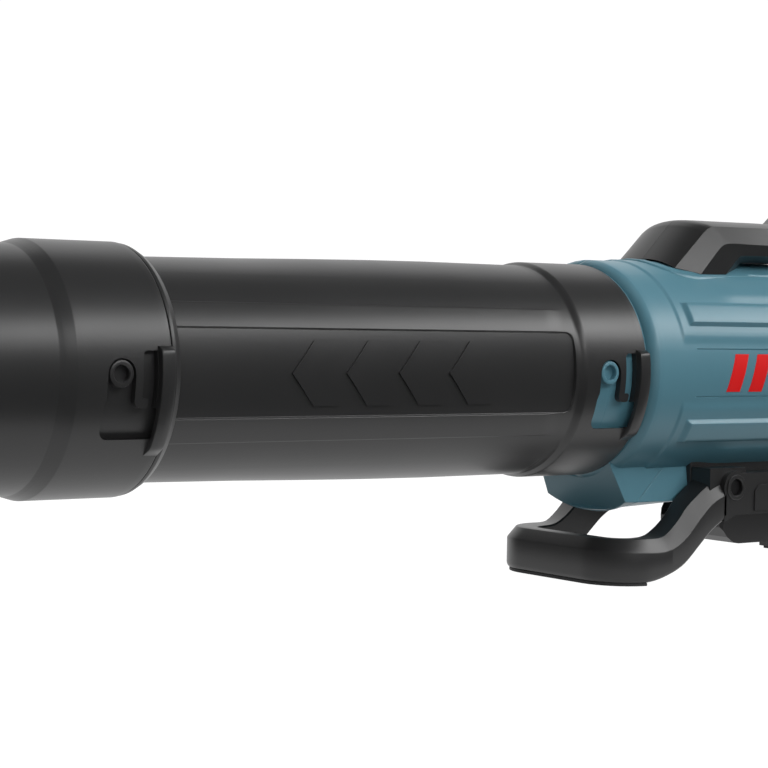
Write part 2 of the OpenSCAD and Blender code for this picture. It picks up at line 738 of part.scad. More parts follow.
module debris_screen() color([0.5, 0.5, 0.52]) {
    screen_x = half_length - 14;
    tube(screen_x, screen_x + 1, 50, 46);
    for (r = [10, 22, 34]) tube(screen_x + 0.2, screen_x + 0.8, r + 0.4, r - 0.4);
    intersection() {
        tube(screen_x + 0.2, screen_x + 0.8, 47, 9.8);
        for (a = [0:15:179]) rotate([a, 0, 0]) box(screen_x, screen_x + 1, -0.4, 0.4, -47, 47);
    }
}

// Angles and radius of the screws that hold the grille.
grille_screw_a = [40, 140, 220, 320];
grille_screw_r = 51.95;

module grille_screws() color(steel)
    for (a = grille_screw_a) rotate([a, 0, 0]) {
        rod_x(grille_x - 8, grille_x + 5, 1.15, 0, grille_screw_r);
        rod_x(grille_x + 4.5, grille_x + 6, 2.2, 0, grille_screw_r);
    }

// ---- battery -------------------------------------------------------------------------------

battery_split = -72;
// Side outline of the pack's body, with its sloping front.
battery_outline = [[battery_x0 + 7, battery_deck], [battery_x0 + 5.5, -66], [battery_x0, -75],
    [battery_x0 + 0.6, -78], [battery_x0 + 5, -83], [battery_x0 + 9.5, -86],
    [battery_x0 + 13, battery_floor], [battery_x1 - 6, battery_floor], [battery_x1, -80],
    [battery_x1, battery_deck]];

module battery_form() {
    w = battery_half_w;
    c = 2;
    intersection() {
        slab(battery_outline, -w, w);
        translate([0, 0, -100]) linear_extrude(50) polygon([[battery_x0 - 2, -w + 1.6 * c],
            [battery_x0 + c, -w], [battery_x1 - c, -w], [battery_x1, -w + c],
            [battery_x1, w - c], [battery_x1 - c, w], [battery_x0 + c, w],
            [battery_x0 - 2, w - 1.6 * c]]);
    }
}

module battery_hollow()
    box(battery_x0 + 8.2, battery_x1 - 2.2, -battery_half_w + 2.2, battery_half_w - 2.2, -84.4, -64.4);

module battery_lower_case() color([0.11, 0.11, 0.115])
    difference() {
        battery_form();
        box(0, big, -60, 60, battery_split, 0);
        battery_hollow();
    }

module battery_upper_case() color([0.11, 0.11, 0.115])
    difference() {
        union() {
            difference() {
                battery_form();
                box(0, big, -60, 60, -100, battery_split + 0.05);
            }
            box(210, cradle_x1 - 2, -20.8, 20.8, -59.0, -57.6);
            box(210, cradle_x1 - 2, -17.4, 17.4, battery_deck - 0.5, -57.6);
        }
        battery_hollow();
        for (y = [-9, -3, 3, 9]) box(209, 229, y - 1, y + 1, -61.4, -57);
        // pocket for the release button
        box(latch_x - 0.3, latch_x + 10.3, -12.3, 12.3, -63.5, -57);
        // pocket for the charge button at the back
        box(battery_x1 - 1.2, battery_x1 + 1, -16, 16, -69, -65.5);
    }

// Two rows of cells that lie along the pack.
module battery_cells() color([0.2, 0.5, 0.7])
    for (i = [0:cell_count / 2 - 1], side = [-1, 1]) {
        x = battery_x0 + 11 + 65.4 * i;
        rod_x(x, x + 65, 9.1, side * 9.4, -74.6);
    }

module battery_contacts() color("goldenrod")
    for (y = [-9, -3, 3, 9], side = [-1, 1])
        box(214, 226, y + side * 0.75 - 0.2, y + side * 0.75 + 0.2, -61.2, -58.2);

module battery_screws() color(steel)
    for (x = [battery_x0 + 9.6, battery_x1 - 3.6], side = [-1, 1])
        translate([x, side * 14, -80]) cylinder(h = 10, r = 1.2, $fn = 24);

module charge_button() color([0.55, 0.57, 0.6])
    box(battery_x1 - 1.2, battery_x1 + 0.3, -16, 16, -69, -65.5);

latch_x = cradle_x1 + 2;           // front of the release button

module latch_button() color([0.75, 0.12, 0.1])
    difference() {
        union() {
            box(latch_x, latch_x + 10, -12, 12, -61, -58.4);
            box(latch_x, latch_x + 1.6, -12, 12, -61, -57.9);
        }
    }

module latch_spring() color(steel)
    for (y = [-7, 7]) translate([latch_x + 5, y, -63.4]) difference() {
        cylinder(h = 2.3, r = 2.2, $fn = 32);
        translate([0, 0, -1]) cylinder(h = 5, r = 1.5, $fn = 32);
    }

// ---- what is drawn -------------------------------------------------------------------------

translate([0, 0, axis_h]) {
    nozzle();
    mid_tube();
    mid_tube_seal();
    housing_left();
    housing_right();
    top_cover();
    housing_screws();
    spigot_seal();
    handle_left();
    handle_right();
    handle_screws();
    handle_bolts();
    grip_pad();
    trigger();
    trigger_spring();
    trigger_switch();
    trigger_pin();
    cruise_lever();
    turbo_button();
    turbo_switch();
    strap_eyelet();
    stand_frame();
    stand_screws();
    stand_pads();
    battery_cradle();
    terminal_block();
    terminal_blades();
    control_board();
    board_capacitors();
    stator_duct();
    motor_hub();
    stator_vanes();
    motor_can();
    motor_stator();
    motor_windings();
    tail_cone();
    front_bearing();
    rear_bearing();
    rotor_shaft();
    rotor_magnets();
    fan();
    fan_nut();
    inlet_bell();
    inlet_grille();
    debris_screen();
    grille_screws();
    battery_lower_case();
    battery_upper_case();
    battery_cells();
    battery_contacts();
    battery_screws();
    charge_button();
    latch_button();
    latch_spring();
}
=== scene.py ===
import json
import math

import bmesh
import bpy
import numpy as np
from mathutils import Matrix, Vector


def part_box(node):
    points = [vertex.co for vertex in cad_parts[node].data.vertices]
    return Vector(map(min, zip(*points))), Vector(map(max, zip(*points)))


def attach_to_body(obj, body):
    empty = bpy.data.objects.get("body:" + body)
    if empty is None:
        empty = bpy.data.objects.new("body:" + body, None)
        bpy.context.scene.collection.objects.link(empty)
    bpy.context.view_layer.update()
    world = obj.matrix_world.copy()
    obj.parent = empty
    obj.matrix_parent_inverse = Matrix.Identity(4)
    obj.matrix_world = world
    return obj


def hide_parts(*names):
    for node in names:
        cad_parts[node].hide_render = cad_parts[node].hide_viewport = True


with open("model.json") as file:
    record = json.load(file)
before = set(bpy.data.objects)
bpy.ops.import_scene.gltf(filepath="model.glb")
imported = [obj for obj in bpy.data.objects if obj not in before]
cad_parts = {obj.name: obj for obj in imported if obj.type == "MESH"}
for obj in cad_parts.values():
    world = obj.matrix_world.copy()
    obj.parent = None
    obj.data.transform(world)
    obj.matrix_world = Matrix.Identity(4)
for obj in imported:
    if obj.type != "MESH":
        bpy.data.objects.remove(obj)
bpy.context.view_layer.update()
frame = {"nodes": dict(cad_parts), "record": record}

MM = 0.001
tip_mount = [m for m in frame["record"]["mounts"] if m["name"] == "nozzle_tip"][0]
AXIS_Z = tip_mount["pos_m"][2]  # height of the air axis, in metres

# Lengths below are in millimetres. x runs along the air axis, y to the far side, and z up from the air axis.
NOZZLE_PEG_X = -162.5
BODY_PEG_X = 93.0
COLLAR_R = 52.3
MID_COLLAR_R = 50.6
BARREL_R = 53.0


# ---- materials -----------------------------------------------------------------------------


def node_material(name):
    m = bpy.data.materials.new(name)
    m.use_nodes = True
    t = m.node_tree
    t.nodes.clear()
    out = t.nodes.new("ShaderNodeOutputMaterial")
    shader = t.nodes.new("ShaderNodeBsdfPrincipled")
    t.links.new(shader.outputs["BSDF"], out.inputs["Surface"])
    return m, t, shader


def moulded(name, color, rough=0.42, grain=0.0, grain_size=900.0, spread=0.06, metal=0.0):
    """Moulded plastic: a slightly uneven colour and gloss, and a fine grain."""
    m, t, shader = node_material(name)
    shader.inputs["Metallic"].default_value = metal
    place = t.nodes.new("ShaderNodeTexCoord")
    cloud = t.nodes.new("ShaderNodeTexNoise")
    cloud.inputs["Scale"].default_value = 14.0
    cloud.inputs["Detail"].default_value = 4.0
    t.links.new(place.outputs["Object"], cloud.inputs["Vector"])
    tone = t.nodes.new("ShaderNodeMix")
    tone.data_type = "RGBA"
    tone.inputs["A"].default_value = (*[c * (1 - spread) for c in color], 1)
    tone.inputs["B"].default_value = (*[c * (1 + spread) for c in color], 1)
    t.links.new(cloud.outputs["Fac"], tone.inputs["Factor"])
    t.links.new(tone.outputs["Result"], shader.inputs["Base Color"])
    gloss = t.nodes.new("ShaderNodeMapRange")
    gloss.inputs["To Min"].default_value = rough - 0.05
    gloss.inputs["To Max"].default_value = rough + 0.05
    t.links.new(cloud.outputs["Fac"], gloss.inputs["Value"])
    t.links.new(gloss.outputs["Result"], shader.inputs["Roughness"])
    if grain:
        fine = t.nodes.new("ShaderNodeTexNoise")
        fine.inputs["Scale"].default_value = grain_size
        fine.inputs["Detail"].default_value = 2.0
        t.links.new(place.outputs["Object"], fine.inputs["Vector"])
        bump = t.nodes.new("ShaderNodeBump")
        bump.inputs["Strength"].default_value = grain
        bump.inputs["Distance"].default_value = 0.0002
        t.links.new(fine.outputs["Fac"], bump.inputs["Height"])
        t.links.new(bump.outputs["Normal"], shader.inputs["Normal"])
    return m


MAT = {
    "tube_plastic": moulded("tube_black", (0.022, 0.022, 0.0225), 0.36, 0.10),
    "housing_plastic": moulded("housing_teal", (0.092, 0.232, 0.295), 0.38, 0.06),
    "black_plastic": moulded("frame_black", (0.020, 0.020, 0.0205), 0.36, 0.10),
    "pack_plastic": moulded("pack_black", (0.010, 0.010, 0.011), 0.38, 0.10),
    "soft_rubber": moulded("soft_rubber", (0.020, 0.020, 0.021), 0.70, 0.30),
    "steel": moulded("plated_steel", (0.58, 0.58, 0.60), 0.30, 0.0, metal=1.0),
    "motor_iron": moulded("motor_iron", (0.16, 0.16, 0.17), 0.50, 0.1, metal=0.8),
    "copper_wire": moulded("copper_wire", (0.72, 0.33, 0.15), 0.32, 0.2, 300.0, metal=1.0),
    "contact_brass": moulded("contact_brass", (0.80, 0.62, 0.28), 0.25, metal=1.0),
    "board_laminate": moulded("board_green", (0.020, 0.140, 0.070), 0.35, 0.1),
    "capacitor_sleeve": moulded("capacitor_sleeve", (0.030, 0.030, 0.050), 0.30),
    "cell_wrap": moulded("cell_wrap", (0.080, 0.300, 0.500), 0.30),
    "red_button": moulded("button_red", (0.50, 0.030, 0.020), 0.35, 0.05),
    "grey_button": moulded("button_grey", (0.30, 0.31, 0.33), 0.45, 0.1),
}
PRINT_RED = moulded("print_red", (0.78, 0.008, 0.008), 0.38, 0.0, spread=0.03)
DARK_STEEL = moulded("black_screw_steel", (0.05, 0.05, 0.052), 0.38, metal=1.0)
SLOT_OF = {s["node"]: s["material_slot"] for s in frame["record"]["subparts"]}


# ---- mesh helpers --------------------------------------------------------------------------


def attach(o, body, slot, *stands_for):
    """Lets a piece ride on a body, and hides the CAD nodes that it stands for. The slot is not used."""
    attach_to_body(o, body)
    if stands_for:
        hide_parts(*stands_for)


def put(name, verts, faces, body, slot, material=None, bevel=0.0):
    """Makes an object of millimetre points about the air axis."""
    pts = [(v[0] * MM, v[1] * MM, AXIS_Z + v[2] * MM) for v in verts]
    mesh = bpy.data.meshes.new(name)
    mesh.from_pydata(pts, [], [list(f) for f in faces])
    mesh.validate()
    mesh.update()
    o = bpy.data.objects.new(name, mesh)
    bpy.context.scene.collection.objects.link(o)
    mesh.materials.append(material or MAT[slot])
    dress(o, bevel=bevel)
    if body:
        attach(o, body, slot)
    return o


def dress(o, sharp=32.0, bevel=0.0, segments=2, bevel_angle=30.0, solid=0.0):
    """Sets a piece's smooth and sharp edges, its wall and its soft edges."""
    o.data.shade_smooth()
    o.data.set_sharp_from_angle(angle=math.radians(sharp))
    if solid:
        s = o.modifiers.new("wall", "SOLIDIFY")
        s.thickness = solid * MM
        s.offset = -1
        s.use_even_offset = True
    if bevel:
        b = o.modifiers.new("edges", "BEVEL")
        b.width = bevel * MM
        b.segments = segments
        b.limit_method = "ANGLE"
        b.angle_limit = math.radians(bevel_angle)
        b.harden_normals = True
        b.miter_outer = "MITER_ARC"


def grid_faces(rows, cols, wrap_cols=False, wrap_rows=False, flip=False):
    faces = []
    for i in range(rows if wrap_rows else rows - 1):
        for j in range(cols if wrap_cols else cols - 1):
            a, b = i * cols + j, i * cols + (j + 1) % cols
            c, d = ((i + 1) % rows) * cols + (j + 1) % cols, ((i + 1) % rows) * cols + j
            faces.append((a, d, c, b) if flip else (a, b, c, d))
    return faces


def face_up(o):
    """Turns an open sheet so that its outside faces up."""
    if sum(p.normal.z for p in o.data.polygons) < 0:
        o.data.flip_normals()


def on_circle(x, r, phi):
    """A point at angle phi, in degrees up from the near side."""
    return (x, -r * math.cos(math.radians(phi)), r * math.sin(math.radians(phi)))


def fillet(points, n=4):
    """Rounds the corners of a closed outline of (a, b, radius) points."""
    out = []
    k = len(points)
    for i, (px, py, r) in enumerate(points):
        ax, ay = points[i - 1][:2]
        bx, by = points[(i + 1) % k][:2]
        if r <= 0:
            out.append((px, py))
            continue
        p, a, b = Vector((px, py)), Vector((ax, ay)), Vector((bx, by))
        u, v = (a - p).normalized(), (b - p).normalized()
        angle = math.acos(max(-1, min(1, u.dot(v))))
        if angle > math.pi - 0.02:
            out.append((px, py))
            continue
        t = min(r / math.tan(angle / 2), 0.49 * (a - p).length, 0.49 * (b - p).length)
        r = t * math.tan(angle / 2)
        c = p + (u + v).normalized() * (r / math.sin(angle / 2))
        s, e = p + u * t - c, p + v * t - c
        a0, a1 = math.atan2(s.y, s.x), math.atan2(e.y, e.x)
        d = (a1 - a0 + math.pi) % (2 * math.pi) - math.pi
        for j in range(n + 1):
            q = a0 + d * j / n
            out.append((c.x + r * math.cos(q), c.y + r * math.sin(q)))
    return out


def lathe(profile, n=224, low=None, high=None):
    """Turns a closed (x, r) outline about the air axis, right round or from low to high degrees."""
    full = low is None
    steps = n if full else max(2, int(n * (high - low) / 360)) + 1
    verts, k = [], len(profile)
    for i in range(steps):
        phi = 360 * i / n if full else low + (high - low) * i / (steps - 1)
        verts += [on_circle(x, r, phi) for x, r in profile]
    faces = grid_faces(steps, k, wrap_cols=True, wrap_rows=full)
    if not full:
        faces += [tuple(range(k)), tuple(reversed(range((steps - 1) * k, steps * k)))]
    return verts, faces


def stretch(profile, step=4.0):
    """Adds points along the long sides of an outline, for cleaner cuts."""
    out = []
    for i, (x, r) in enumerate(profile):
        bx, br = profile[(i + 1) % len(profile)]
        n = max(1, int(math.hypot(bx - x, br - r) / step))
        out += [(x + (bx - x) * j / n, r + (br - r) * j / n) for j in range(n)]
    return out


def tidy_normals(o):
    b = bmesh.new()
    b.from_mesh(o.data)
    bmesh.ops.recalc_face_normals(b, faces=b.faces)
    b.to_mesh(o.data)
    b.free()


def cut(o, cutters):
    """Cuts the cutters out of o for good, and removes them."""
    tidy_normals(o)
    for c in cutters:
        tidy_normals(c)
        m = o.modifiers.new("cut", "BOOLEAN")
        m.operation = "DIFFERENCE"
        m.solver = "EXACT"
        m.object = c
    made = bpy.data.meshes.new_from_object(o.evaluated_get(bpy.context.evaluated_depsgraph_get()))
    o.modifiers.clear()
    o.data = made
    for c in cutters:
        bpy.data.objects.remove(c)


def merge(first, others):
    """Joins the others into the first object."""
    with bpy.context.temp_override(active_object=first, selected_editable_objects=[first, *others],
                                   selected_objects=[first, *others]):
        bpy.ops.object.join()
    return first


def arc(cx, cy, r, a0, a1, n):
    return [(cx + r * math.cos(math.radians(a0 + (a1 - a0) * i / n)),
             cy + r * math.sin(math.radians(a0 + (a1 - a0) * i / n))) for i in range(n + 1)]


def prism_y(outline, y0, y1):
    k = len(outline)
    verts = [(x, y0, z) for x, z in outline] + [(x, y1, z) for x, z in outline]
    faces = [(i, (i + 1) % k, k + (i + 1) % k, k + i) for i in range(k)]
    return verts, faces + [tuple(reversed(range(k))), tuple(range(k, 2 * k))]


def turned(verts, side):
    """The same points turned half round the air axis, for the far side."""
    return verts if side == 0 else [(x, -y, -z) for x, y, z in verts]


def gather(*parts):
    verts, faces = [], []
    for v, f in parts:
        n = len(verts)
        verts += list(v)
        faces += [tuple(i + n for i in g) for g in f]
    return verts, faces


# ---- bayonet joints ------------------------------------------------------------------------

SLOT_LOW, HOOK_LOW = -25.8, -13.4


def slot_outline(end):
    """The bayonet slot in a collar, about the peg that locks in it."""
    finger, back, bridge_x, top = 6.1, 9.4, 15.8, 7.5
    return (arc(0, 0, finger, 180, 0, 20) + [(finger, -6.0)]
            + arc(finger + 3.3, HOOK_LOW + 3.3, 3.3, 180, 270, 7)
            + arc(12.2 - 1.2, HOOK_LOW + 1.2, 1.2, 270, 360, 4)
            + arc(12.2 - 1.2, HOOK_LOW + 2.8, 1.2, 0, 90, 4)
            + [(back, HOOK_LOW + 4.0)] + arc(back + 2.2, top - 0.7, 2.2, 180, 90, 5)
            + [(bridge_x, top + 1.5), (bridge_x, HOOK_LOW), (end, HOOK_LOW), (end, SLOT_LOW)]
            + arc(-2.6, SLOT_LOW + 4.4, 4.4, 270, 180, 7) + [(-7, -12.5), (-6.1, -9.5)])


def slot_cutters(peg_x, r, end):
    """One cutter for each side of a collar."""
    out = []
    for side in (0, 1):
        verts, faces = prism_y([(peg_x + x, z) for x, z in slot_outline(end)], -r - 8, -r + 12)
        out.append(put(f"cutter{side}", turned(verts, side), faces, None, "steel"))
    return out


def bridge(peg_x, r, end):
    """The raised bridge over one slot, with a sloping lower end."""
    x0, x1 = peg_x + 16.1, end
    stations = [(-38.5, 0.05), (-37.5, 0.45), (-36, 1.2), (-34, 2.2), (-32.6, 2.75), (-31.2, 2.95)]
    stations += [(-29.5, 3)]
    stations += [(-29.5 + 38.3 * i / 30, 3.0) for i in range(1, 31)]
    stations += [(9.8, 2.8), (10.6, 2.1), (11.4, 1.1), (12.0, 0.05)]
    verts, k = [], 0
    for phi, rise in stations:
        inner = r + 0.4 if -31 < phi < -14.6 and rise > 2.9 else r - 1.5
        c = min(0.7, rise * 0.45)
        ring = [(x0, inner), (x0, r + rise - c), (x0 + c * 0.3, r + rise - c * 0.3), (x0 + c, r + rise),
                ((x0 + x1) / 2, r + rise), (x1 - c * 1.4, r + rise), (x1 - c * 0.45, r + rise - c * 0.45),
                (x1, r + rise - c * 1.4), (x1, inner)]
        k = len(ring)
        verts += [on_circle(x, q, phi) for x, q in ring]
    n = len(stations)
    faces = grid_faces(n, k, wrap_cols=True)
    return verts, faces + [tuple(range(k)), tuple(reversed(range((n - 1) * k, n * k)))]


def peg(x, r_root, r_end):
    """A hollow locking peg that stands out to the near side."""
    hole, outer, n = 3.45, 5.4, 64
    ring = [(outer, r_root), (outer, r_end - 0.7), (outer - 0.2, r_end - 0.2), (outer - 0.7, r_end),
            (hole + 0.35, r_end), (hole, r_end - 0.35), (hole, r_root + 0.8), (0.0, r_root + 0.8),
            (0.0, r_root)]
    verts = []
    for i in range(n):
        a = 2 * math.pi * i / n
        verts += [(x + q * math.cos(a), -d, q * math.sin(a)) for q, d in ring]
    return verts, grid_faces(n, len(ring), wrap_cols=True, wrap_rows=True)


def both_sides(*parts):
    """The parts of the near side and their copies half round the axis."""
    return gather(*[(turned(v, s), f) for s in (0, 1) for v, f in parts])


# ---- nozzle --------------------------------------------------------------------------------

nozzle_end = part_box("nozzle")[1].x / MM
tip_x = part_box("nozzle")[0].x / MM
body_profile = fillet([
    (-186.0, 47.2, 0), (tip_x + 22, 35.7, 3), (tip_x, 35.7, 0.8), (tip_x, 38.5, 0.8),
    (tip_x + 21.6, 38.5, 0.4), (tip_x + 23, 40.0, 0.8), (-188.2, 50.2, 2.2), (-186.0, 50.95, 0)])
nozzle = put("nozzle_body", *lathe(body_profile), None, "tube_plastic")
collar_profile = stretch(fillet([
    (-186.0, 47.2, 0), (-186.0, 50.95, 0), (-181.5, COLLAR_R, 2.5), (nozzle_end, COLLAR_R, 0.7),
    (nozzle_end, 49.4, 0.3), (-182.4, 49.4, 0.3), (-184.0, 46.7, 0.3)]), 3.0)
collar = put("nozzle_collar", *lathe(collar_profile, 288), None, "tube_plastic")
cut(collar, slot_cutters(NOZZLE_PEG_X, COLLAR_R, nozzle_end - NOZZLE_PEG_X + 1))
bridges = both_sides(bridge(NOZZLE_PEG_X, COLLAR_R, nozzle_end))
nozzle_bridges = put("nozzle_bridges", *bridges, None, "tube_plastic")
tidy_normals(nozzle_bridges)
tidy_normals(nozzle)
merge(nozzle, [collar, nozzle_bridges])
dress(nozzle, 34)
attach(nozzle, "front_nozzle", "tube_plastic", "nozzle")

# ---- middle tube ---------------------------------------------------------------------------

mid_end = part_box("mid_tube")[1].x / MM
OUTER = [(-134.7, 46.6), (-134.3, 46.6), (-80, 47.4), (-45, 48.2), (-12, 48.8), (20, 49.1), (72, 49.0)]


def tube_r(x):
    xs, rs = zip(*OUTER)
    return float(np.interp(x, xs, rs))


def step(a, b, v):
    """Rises smoothly from 0 at a to 1 at b."""
    t = np.clip((v - a) / (b - a), 0, 1)
    return t * t * (3 - 2 * t)


PANEL_HALF = 18.2  # half height of the sunk panel
BAND_HALF = 28.25  # half height of the raised band


def panel_offset(x, z):
    """Height of the tube's side above its round form: a raised band with a flatter sunk panel in it."""
    fade = step(60.0, 71.0, x + 0.35 * (28.5 - abs(z)))
    band = 0.6 * (1 - step(28.0, 28.5, abs(z))) * (1 - fade)
    corner_r = 4.0
    qx, qz = abs(x + 40.0) - 113.0 + corner_r, abs(z) - PANEL_HALF + corner_r
    d = math.hypot(max(qx, 0), max(qz, 0)) + min(max(qx, qz), 0) - corner_r
    inside = 1 - step(-0.22, 0.22, d)
    sunk = -1.5 + 1.15 * min(1.0, abs(z) / PANEL_HALF) ** 2
    return band * (1 - inside) + sunk * inside


near_panel = (-4.2, -3.6, -3, -2.4, -1.9, -1.4, -1.0, -0.7, -0.45, -0.25, -0.12, 0, 0.12, 0.25, 0.5, 1)
z_marks = sorted(set(
    [round(v, 3) for v in np.arange(-40, 40.01, 1.6)]
    + [s * (PANEL_HALF + d) for s in (-1, 1) for d in near_panel]
    + [s * (BAND_HALF + d) for s in (-1, 1) for d in (-0.6, -0.3, -0.15, 0, 0.15, 0.3, 0.6)]))
x_marks = sorted(set(
    [x for x, _ in OUTER] + list(np.arange(-132, 60, 4.0)) + list(np.arange(56, 66, 1.0))
    + list(np.arange(66, 72.01, 1.0)) + list(np.arange(68.0, 74.4, 0.4))))
x_marks = [x for x in x_marks if x <= 79.0]


def tube_row(r):
    """Angles all round the tube that follow the long lines of its side panels."""
    near = [math.degrees(math.asin(z / r)) for z in z_marks]
    top = near[-1]
    gap = [top + (180 - 2 * top) * i / 46 for i in range(1, 46)]
    far = [180 + a for a in near]
    return near + gap + far + [180 + g for g in gap]


CHAMFER = [(72, 49.0), (75.0, 49.0), (75.6, 49.1), (77.6, 50.2), (78.4, 50.5), (79.0, MID_COLLAR_R)]


def skin_r(x):
    return tube_r(x) if x <= 72 else float(np.interp(x, *zip(*CHAMFER)))


verts, cols = [], 0
x_marks = sorted(set(x_marks + [75.0, 75.6, 76.2, 76.9, 77.6, 78.0, 78.4, 78.7, 79.0]))
for x in x_marks:
    r = skin_r(x)
    angles = tube_row(r)
    cols = len(angles)
    for phi in angles:
        z = r * math.sin(math.radians(phi))
        side = abs(math.cos(math.radians(phi))) > 0.4
        extra = panel_offset(x, z) if side and -134.6 < x < 75 else 0.0
        verts.append(on_circle(x, r + extra, phi))
mid_skin = put("mid_skin", verts, grid_faces(len(x_marks), cols, wrap_cols=True), None, "tube_plastic")
front_profile = fillet([
    (-134.3, 45.0, 0), (-150, 45.6, 0), (-181.5, 46.5, 0.4), (-181.5, 49.1, 0.5), (-139.7, 49.1, 0.2),
    (-139.7, 51.9, 0.5), (-138.1, 51.9, 0.6), (-135.3, 50.4, 0.6), (-134.7, 46.6, 0.3), (-134.3, 46.6, 0)])
mid_front = put("mid_front", *lathe(front_profile), None, "tube_plastic")
inner = [(-134.3, 45.0), (-80, 44.5), (20, 46.3), (71, 45.6), (79.0, 45.6)]
around = 160
inner_verts = [on_circle(x, r, 360 * i / around) for x, r in inner for i in range(around)]
inner_faces = grid_faces(len(inner), around, wrap_cols=True, flip=True)
mid_inner = put("mid_inner", inner_verts, inner_faces, None, "tube_plastic")
collar_profile = stretch(fillet([
    (79.0, 45.6, 0), (79.0, MID_COLLAR_R, 0), (mid_end, MID_COLLAR_R, 0.7), (mid_end, 47.7, 0.3),
    (81.0, 47.7, 0.3)]), 3.0)
mid_collar = put("mid_collar", *lathe(collar_profile, 288), None, "tube_plastic")
cut(mid_collar, slot_cutters(BODY_PEG_X, MID_COLLAR_R, mid_end - BODY_PEG_X + 1))
extras = both_sides(bridge(BODY_PEG_X, MID_COLLAR_R, mid_end), peg(NOZZLE_PEG_X, 48.3, COLLAR_R - 0.2))
mid_extras = put("mid_extras", *extras, None, "tube_plastic")
tidy_normals(mid_extras)


def ribbon(bottom, top, faces_between):
    """A thin raised strip of paired points, closed all round."""
    n = len(bottom)
    faces = []
    for j in range(faces_between):
        a, b, c, d = 2 * j, 2 * j + 1, 2 * j + 3, 2 * j + 2
        faces += [(n + a, n + b, n + c, n + d), (a, d, c, b), (a, n + a, n + d, d), (b, c, n + c, n + b)]
    faces += [(0, 1, n + 1, n), (n - 2, 2 * n - 2, 2 * n - 1, n - 1)]
    return bottom + top, faces


def chevrons(x0, pitch, count, half, width, raise_by):
    """Plain slanted chevrons that follow the sunk panel."""
    parts = []
    for i in range(count):
        rows = []
        for j in range(-10, 11):
            z = half * j / 10
            x = x0 + i * pitch + abs(z) * 0.85
            for u in (x, x + width):
                r = skin_r(u) + panel_offset(u, z)
                rows.append((u, r, math.degrees(math.asin(z / r))))
        bottom = [on_circle(u, r - 0.4, phi) for u, r, phi in rows]
        top = [on_circle(u, r + raise_by, phi) for u, r, phi in rows]
        parts.append(ribbon(bottom, top, len(rows) // 2 - 1))
    return gather(*parts)


marks = both_sides(chevrons(-80, 27, 4, 13.5, 13.0, 0.75))
mid_marks = put("mid_marks", *marks, None, "tube_plastic")
tidy_normals(mid_marks)
merge(mid_skin, [mid_front, mid_inner, mid_collar, mid_extras, mid_marks])
mid_skin.name = "mid_tube_shell"
dress(mid_skin, 34)
attach(mid_skin, "middle_tube", "tube_plastic", "mid_tube")

# ---- motor housing -------------------------------------------------------------------------

front_x = 116.0
rear_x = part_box("housing_left")[1].x / MM
rib_end = rear_x - 16
HOUSING = [(front_x, 49.8), (front_x + 0.4, 50.4), (front_x + 5.1, 52.7),
           (front_x + 5.5, 52.9), (front_x + 6.0, 53.0)]
RIB_X, RIB_ANGLE = 144.6, 31.1  # front end of the ribs, and their angle above and below the middle
LINE_ANGLE = 12.3
MM_PER_DEGREE = 0.925


def housing_offset(x, phi):
    """Ribs, engraved lines and the front step of the barrel, at an angle folded to the near side."""
    a = abs(phi)
    out = 0.75 * float(step(137.4, 139.2, x)) * float(step(14.5, 19.5, a))
    out += 0.75 * float(step(37.6, 44.5, a)) * float(step(168.0, 184.0, x))
    back = x - rib_end
    rib = max(abs(a - RIB_ANGLE) * MM_PER_DEGREE - 5.6, (RIB_X - x) * 0.64, back)
    out += 2.0 * float(1 - step(-0.9, 0.9, rib))
    line = max(abs(a - LINE_ANGLE) * MM_PER_DEGREE - 0.18, RIB_X + 1.8 - x, back)
    out -= 0.5 * float(1 - step(-0.15, 0.15, line))
    return out


angle_marks = [
    0, 6, 11.2, 11.7, 11.95, 12.15, 12.3, 12.45, 12.65, 12.9, 13.4, 14.5, 15.7, 17, 18.3, 19.5, 22, 23.6,
    24.2, 24.6, 25.0, 25.4, 25.8, 26.4, 28, 31.25, 34.5, 36.1, 36.7, 37.1, 37.5, 37.9, 38.3, 38.9, 40,
    41.2, 42.4, 43.5, 44.5, 47, 52, 56, 59.75]
x_list = sorted(set(
    [p[0] for p in HOUSING[1:]] + list(np.arange(125, 136, 3.0)) + list(np.arange(136.6, 140, 0.45))
    + list(np.arange(141, 149.0, 0.45)) + list(np.arange(150, 190, 3.0))
    + list(np.arange(192, rear_x - 20, 6.0))
    + list(np.arange(rear_x - 20, rear_x - 12, 0.8)) + [rear_x - 8, rear_x - 3, rear_x]))


def barrel_radius(x):
    if x <= HOUSING[-1][0]:
        return float(np.interp(x, [p[0] for p in HOUSING], [p[1] for p in HOUSING]))
    return BARREL_R


def barrel_patch(xs, phis, mirror):
    rows = []
    for x in xs:
        for phi in phis:
            fold = phi if phi <= 90 else 180 - phi
            rows.append(on_circle(x, barrel_radius(x) + housing_offset(x, fold), phi))
    if mirror:
        rows = [(x, -y, z) for x, y, z in rows]
    return rows, grid_faces(len(xs), len(phis), flip=mirror)


